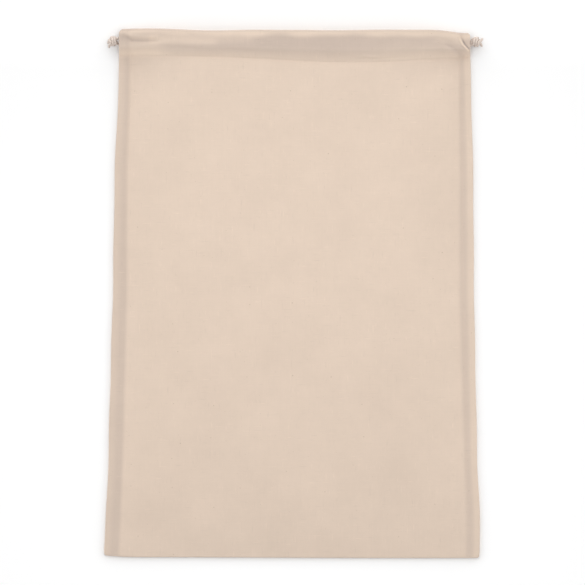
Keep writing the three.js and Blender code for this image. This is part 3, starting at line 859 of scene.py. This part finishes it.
class GIFTBAG_OT_stage(bpy.types.Operator):
    """Lay white paper under the bag, light it softly and look straight down"""

    bl_idname = "giftbag.stage"
    bl_label = "Stage"

    def execute(self, context):
        scene = context.scene
        scene.view_settings.view_transform = "Standard"
        edge = 4000.0
        corners = [(-edge, -edge, 0), (edge, -edge, 0), (edge, edge, 0), (-edge, edge, 0)]
        paper = white_paper("white_studio_paper")
        floor = new_piece("floor", corners, faces=[(0, 1, 2, 3)], material=paper)

        # A light tent: its walls are bright, most at the bag's top, and its roof is dim,
        # so the bag's low edges shade the paper beside them.
        world = bpy.data.worlds.new("light_tent")
        world.use_nodes = True
        tree = world.node_tree
        tree.nodes.clear()
        direction = add(tree, "ShaderNodeTexCoord").outputs["Generated"]
        towards = add(tree, "ShaderNodeSeparateXYZ", {"Vector": direction}).outputs
        walls = add(tree, "ShaderNodeMapRange", {
            "Value": towards["Z"], "From Min": 0.45, "From Max": 0.9, "To Min": 1.45, "To Max": 0.22},
            interpolation_type="SMOOTHSTEP")
        lean = add(tree, "ShaderNodeMapRange", {
            "Value": towards["Y"], "From Min": -1.0, "From Max": 1.0, "To Min": 0.55, "To Max": 1.45})
        glow = add(tree, "ShaderNodeMath", {0: walls, 1: lean}, operation="MULTIPLY")
        tent = add(tree, "ShaderNodeBackground", {
            "Color": (1.0, 1.0, 1.0, 1.0), "Strength": glow})
        add(tree, "ShaderNodeOutputWorld", {"Surface": tent})
        scene.world = world

        key = bpy.data.lights.new("soft_key", "AREA")
        key.shape = "DISK"
        key.size = 0.7
        key.energy = 2.5
        lamp = bpy.data.objects.new("soft_key", key)
        lamp.location = (0.0, 0.15, 0.8)
        scene.collection.objects.link(lamp)

        # The photograph shows 468 mm across at the height of the bag's side edges, seen from
        # straight above, with its middle a little off the bag's.
        distance = 4.0
        edge_height = 0.002
        seen = 0.468
        middle = (-0.0012, 0.0008)
        view = bpy.data.cameras.new("above")
        view.sensor_width = 36.0
        view.lens = view.sensor_width * (distance - edge_height) / seen
        view.clip_end = 50.0
        camera = bpy.data.objects.new("above", view)
        camera.location = (*middle, distance)
        scene.collection.objects.link(camera)
        scene.camera = camera
        return {"FINISHED"}


class GIFTBAG_OT_drawcords(bpy.types.Operator):
    """Run a cotton cord from each corner through both casings and knot its two ends together"""

    bl_idname = "giftbag.drawcords"
    bl_label = "Drawcords"

    def execute(self, context):
        sizes = context.scene.gift_bag_sizes
        material = cotton_cord(context.scene.gift_bag_colours)
        tree = fray_tree(material)
        for side, node in ((-1, "drawcord_left"), (1, "drawcord_right")):
            line, length = smooth_line(cord_points(side), CORD_STEP)
            run = np.linspace(0, length, len(line))
            from_tip = np.minimum(run, length - run)
            radii = lerp(KNOT_CORD, sizes.cord / MM / 2, smoothstep(from_tip, KNOT_THIN, KNOT_FULL))
            cord = twisted_cord(f"{node}_twisted", line, radii, sizes.cord_lay / MM, material)
            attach(cord, BODY)
            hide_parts(node)
            fibres = frayed_ends(f"{node}_frayed_ends", line, tree, sizes)
            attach(fibres, BODY)
        return {"FINISHED"}


# How far in from the sides the rows of stitches end, how many points their lines have, and how
# far up a stitch's middle lies, as a share of the thread: above the front panel, and above the
# surface that the bag lies on.
STITCH_SETBACK = 2.5
STITCH_POINTS = 180
STITCH_SEATS = dict(front=0.1, back=0.55)


def stitch_tree(material):
    """Stitches along lines of edges."""
    tree, start = new_tree("running_stitches", {
        "Line": "Geometry", "Stitch length": "Float", "Stitch pitch": "Float", "Thread": "Float"}, "Stitches")
    line = add(tree, "GeometryNodeMeshToCurve", {"Mesh": start["Line"]})
    spots = add(tree, "GeometryNodeCurveToPoints", {
        "Curve": line, "Length": start["Stitch pitch"]}, mode="LENGTH")
    turned = add(tree, "FunctionNodeAlignRotationToVector", {"Vector": spots.outputs["Tangent"]}, axis="X")
    stitch = add(tree, "GeometryNodeMeshUVSphere", {"Segments": 8, "Rings": 5, "Radius": 0.5})
    size = add(tree, "ShaderNodeCombineXYZ", {
        "X": start["Stitch length"], "Y": start["Thread"], "Z": start["Thread"]})
    return end_tree(tree, "Stitches", material, spots, stitch, turned, size)


class GIFTBAG_OT_stitches(bpy.types.Operator):
    """Sew down the turns of both casings with a row of stitches each"""

    bl_idname = "giftbag.stitches"
    bl_label = "Casing stitches"

    def execute(self, context):
        sizes = context.scene.gift_bag_sizes
        thread = sizes.thread / MM
        left, right = side_edges(STITCHING)
        x = np.linspace(left + STITCH_SETBACK, right - STITCH_SETBACK, STITCH_POINTS)
        level = np.full_like(x, STITCHING)
        reach = np.minimum(x - left, right - x)
        past = reach - np.where(x < 0, allowance("left", STITCHING), allowance("right", STITCHING))
        front = front_surface(x, level, reach, past) + STITCH_SEATS["front"] * thread
        back = np.full_like(x, STITCH_SEATS["back"] * thread)
        y = place_up(x, level)
        points = np.vstack([np.stack([x, y, z], axis=1) for z in (front, back)])
        edges = [(i, i + 1) for i in range(2 * STITCH_POINTS - 1) if i != STITCH_POINTS - 1]
        stitches = new_piece("casing_stitches", points, edges)
        grow(stitches, stitch_tree(sewing_thread(context.scene.gift_bag_colours)), {
            "Stitch length": sizes.stitch_length, "Stitch pitch": sizes.stitch_pitch,
            "Thread": sizes.thread})
        stitches.data.shade_smooth()
        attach(stitches, BODY)
        return {"FINISHED"}


# The cloth's columns: the angles at which a side turns in, then shares of the seam allowance in
# from the side edge, and how many lie between.
ROLL_COLUMNS = [-60, -30, 0, 30, 60]
SIDE_COLUMNS = [0.07, 0.13, 0.2, 0.26, 0.32, 0.38, 0.44, 0.5, 0.56, 0.62, 0.68, 0.74, 0.8, 0.86, 0.93,
                1.0, 1.07, 1.15, 1.24, 1.36, 1.55, 1.8]
ALLOWANCE_COLUMNS = [share for share in reversed(SIDE_COLUMNS) if share <= 1]
MIDDLE_COLUMNS = 84

# The cloth's rows: how far apart they lie in the casing and in its turn, how far the turn's hem
# lies below the stitching, and how many rows the front has below the casing.
CASING_STEP = 0.55
TURN_STEP = 0.8
HEM_BELOW = 1.2
BODY_ROWS = 118

# The folds' radii, the angles below or above which a top fold is hidden in its casing, how far
# the back's turn lies clear of the panel below it, and how far up and down the front's slope is
# taken.
FOLD_RADII = {"front_fold": TOP_FOLD, "bottom_fold": BOTTOM_FOLD, "back_fold": TOP_FOLD}
FRONT_HIDDEN_BELOW = -5
BACK_HIDDEN_ABOVE = 40
TURN_CLEAR = 0.3
SLOPE_STEP = 0.2


def cloth_rows():
    """The rows of the cloth from the front casing's hem, over the bag, to the back one's: the
    leg each is part of, its height and the angle it faces. The back lies flat, so its rows are
    far apart except by the bottom fold and the stitching."""
    top = BAG_HEIGHT - TOP_FOLD
    fold = np.linspace(-90, 90, 11)
    casing = np.arange(top, STITCHING - 5, -CASING_STEP)
    body = lerp(casing[-1], BOTTOM_FOLD, np.linspace(0, 1, BODY_ROWS) ** 1.15)
    back = np.concatenate([
        [BOTTOM_FOLD + 0.3, 4.7], np.linspace(18, STITCHING - 8, 23),
        np.linspace(STITCHING - 6, STITCHING + 8, 15)])
    turn = np.concatenate([
        np.arange(STITCHING - HEM_BELOW, STITCHING + 9, TURN_STEP), np.linspace(STITCHING + 10, top, 8)])
    rows = [("front_turn", up, 0.0) for up in turn[:-1]]
    rows += [("front_fold", top, angle) for angle in fold]
    rows += [("front", up, 90.0) for up in np.concatenate([casing[1:], body[1:]])]
    rows += [("bottom_fold", BOTTOM_FOLD, angle) for angle in np.linspace(90, 270, 13)[1:]]
    rows += [("back", up, 270.0) for up in back]
    rows += [("back_fold", top, angle) for angle in fold]
    rows += [("back_turn", up, 0.0) for up in turn[-2::-1]]
    return rows


def cloth_columns(up, half, roll):
    """The columns of one row: x, how deep each lies inside the bag, its distance from the side,
    and how far past the seam allowance that is."""
    left, right = side_edges(up)
    found = []
    for name, edge, inward in (("left", left, 1), ("right", right, -1)):
        width = float(allowance(name, up))
        angles = np.radians(ROLL_COLUMNS)
        inner, outer = width * np.array(ALLOWANCE_COLUMNS), width * np.array(SIDE_COLUMNS)
        reach = np.concatenate([inner, roll * (1 - np.cos(angles)), outer])
        depth = np.concatenate([
            np.full_like(inner, 2 * roll), roll * (1 - np.sin(angles)), np.zeros_like(outer)])
        columns = np.stack([edge + inward * (reach + half), depth, reach, reach - width])
        found.append(columns[:, ::inward])
    x = np.linspace(found[0][0, -1], found[1][0, 0], MIDDLE_COLUMNS + 2)[1:-1]
    reach = np.minimum(x - left, right - x)
    past = np.minimum(x - left - allowance("left", up), right - x - allowance("right", up))
    middle = np.stack([x, np.zeros_like(x), reach, past])
    return np.concatenate([found[0], middle, found[1]], axis=1)


def row_heights(leg, x, up, reach, past, lift, half):
    """How high the middle of the cloth lies along a row, before its sides turn in."""
    share = casing_share(up)
    if leg == "front_turn":
        under = front_surface(x, up, reach, past) - 4 * half
        return lerp(under, panel_height(x, up) - SOLID_CLOTH + half, share)
    if leg == "front_fold":
        middle = front_height(x, BAG_HEIGHT - TOP_FOLD) - TOP_FOLD
        return middle + (TOP_FOLD - half) * lift + creases(x, up, reach) * max(lift, 0)
    if leg == "front":
        return front_surface(x, up, reach, past) - half
    if leg == "bottom_fold":
        middle = front_height(x, BOTTOM_FOLD) / 2
        return middle + (middle - half) * lift
    if leg == "back":
        return half + GROOVE["back"] * bell(up - STITCHING, GROOVE["reach"]) * off_seam(past)
    if leg == "back_fold":
        return TOP_FOLD + (TOP_FOLD - half) * lift + np.zeros_like(x)
    return lerp(SOLID_CLOTH + TURN_CLEAR, 2 * TOP_FOLD, share) - half


def edge_wave(x, up, reach):
    """How unevenly the sides run."""
    wave = 0.22 * math.sin(up / 11 + 1.3) + 0.18 * math.sin(up / 27)
    return bell(reach, 9) * wave * np.where(x < 0, 1, -0.8)


def cloth_row(leg, up, angle, sizes):
    """One row of the cloth: its points, where they lie across the flat cloth, how deep they look
    and which are kept. The turns and the folds' hidden parts stop short of the sides, and the
    allowances are trimmed in the bottom fold."""
    half = sizes.cloth / MM / 2
    out, lift = math.cos(math.radians(angle)), math.sin(math.radians(angle))
    if leg in FOLD_RADII:
        up = up + (FOLD_RADII[leg] - half) * out
    share = 0.0 if leg == "back" else float(casing_share(up))
    roll = lerp(sizes.seam_roll, sizes.hem_roll, share) / MM
    x, depth, reach, past = cloth_columns(up, half, roll)
    level = np.full_like(x, up)
    z = row_heights(leg, x, level, reach, past, lift, half)

    # The sides turn in square to the cloth, except that a turn has nothing to turn in.
    turn = leg.endswith("turn")
    inward = np.zeros(2) if turn else np.array((-out, -lift))
    if leg == "front":
        above, below = (front_surface(x, level + step, reach, past) for step in (SLOPE_STEP, -SLOPE_STEP))
        slope = (above - below) / (2 * SLOPE_STEP)
        inward = np.array((slope, -np.ones_like(x))) / np.hypot(slope, 1)
    y = place_up(x, level + inward[0] * depth)
    points = np.stack([x + edge_wave(x, up, reach), y, z + inward[1] * depth], axis=1)

    tones = layering_and_painted_shade(x, level, reach, past) if leg.startswith("front") else np.zeros_like(x)
    kept = np.ones_like(x, bool)
    in_front = leg == "front_fold" and angle < FRONT_HIDDEN_BELOW
    in_back = leg == "back_fold" and angle > BACK_HIDDEN_ABOVE
    if turn or in_front or in_back:
        kept = reach >= END_SETBACK
    elif leg == "bottom_fold":
        kept = depth <= 1.001 * roll
    return points, x - np.sign(x) * depth, tones, kept


class GIFTBAG_OT_cloth(bpy.types.Operator):
    """Fold one length of cotton into the bag, with its side seams and both casings"""

    bl_idname = "giftbag.cloth"
    bl_label = "Bag cloth"

    def execute(self, context):
        sizes = context.scene.gift_bag_sizes
        rows = [cloth_row(leg, up, angle, sizes) for leg, up, angle in cloth_rows()]
        points, flat_x, tones, kept = (np.array(values) for values in zip(*rows))
        steps = np.median(np.linalg.norm(np.diff(points, axis=0), axis=2), axis=1)
        flat_y = np.concatenate([[0], np.cumsum(steps)])[:, None] + np.zeros_like(flat_x)
        flat = np.stack([flat_x, flat_y, np.zeros_like(flat_x)], axis=2)

        # A face where all four corners are kept, and only the points that have faces.
        columns = kept.shape[1]
        row, column = np.nonzero(kept[:-1, :-1] & kept[:-1, 1:] & kept[1:, :-1] & kept[1:, 1:])
        corner = row * columns + column
        corners = np.stack([corner, corner + columns, corner + columns + 1, corner + 1], axis=1)
        used, faces = np.unique(corners, return_inverse=True)
        cloth = new_piece(
            "bag_cloth_sewn", points.reshape(-1, 3)[used], faces=faces.reshape(-1, 4).tolist(),
            material=cotton_cloth(context.scene.gift_bag_colours))
        point_values(cloth, "flat", "FLOAT_VECTOR", flat.reshape(-1, 3)[used])
        point_values(cloth, "layering_and_painted_shade", "FLOAT", tones.ravel()[used])
        solid = cloth.modifiers.new("thickness", "SOLIDIFY")
        solid.thickness = sizes.cloth
        solid.offset = 0.0
        solid.use_even_offset = False
        settle(cloth)
        cloth.data.shade_smooth()
        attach(cloth, BODY)
        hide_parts("bag_cloth")
        return {"FINISHED"}


class GIFTBAG_PT_panel(bpy.types.Panel):
    """Pieces of the gift bag"""

    bl_idname = "GIFTBAG_PT_panel"
    bl_label = "Gift bag"
    bl_space_type = "VIEW_3D"
    bl_region_type = "UI"
    bl_category = "Gift bag"

    def draw(self, context):
        layout = self.layout
        for operator in OPERATORS:
            layout.operator(operator.bl_idname)
        for group in (context.scene.gift_bag_sizes, context.scene.gift_bag_colours):
            column = layout.column()
            for name in group.__annotations__:
                column.prop(group, name)


OPERATORS = (GIFTBAG_OT_stage, GIFTBAG_OT_drawcords, GIFTBAG_OT_stitches, GIFTBAG_OT_cloth)
CLASSES = (GiftBagSizes, GiftBagColours, *OPERATORS, GIFTBAG_PT_panel)


def register():
    for each in CLASSES:
        bpy.utils.register_class(each)
    bpy.types.Scene.gift_bag_sizes = bpy.props.PointerProperty(type=GiftBagSizes)
    bpy.types.Scene.gift_bag_colours = bpy.props.PointerProperty(type=GiftBagColours)


def unregister():
    del bpy.types.Scene.gift_bag_colours
    del bpy.types.Scene.gift_bag_sizes
    for each in reversed(CLASSES):
        bpy.utils.unregister_class(each)


def main():
    register()
    bpy.ops.giftbag.stage()
    bpy.ops.giftbag.drawcords()
    bpy.ops.giftbag.stitches()
    bpy.ops.giftbag.cloth()


if __name__ == "__main__":
    main()
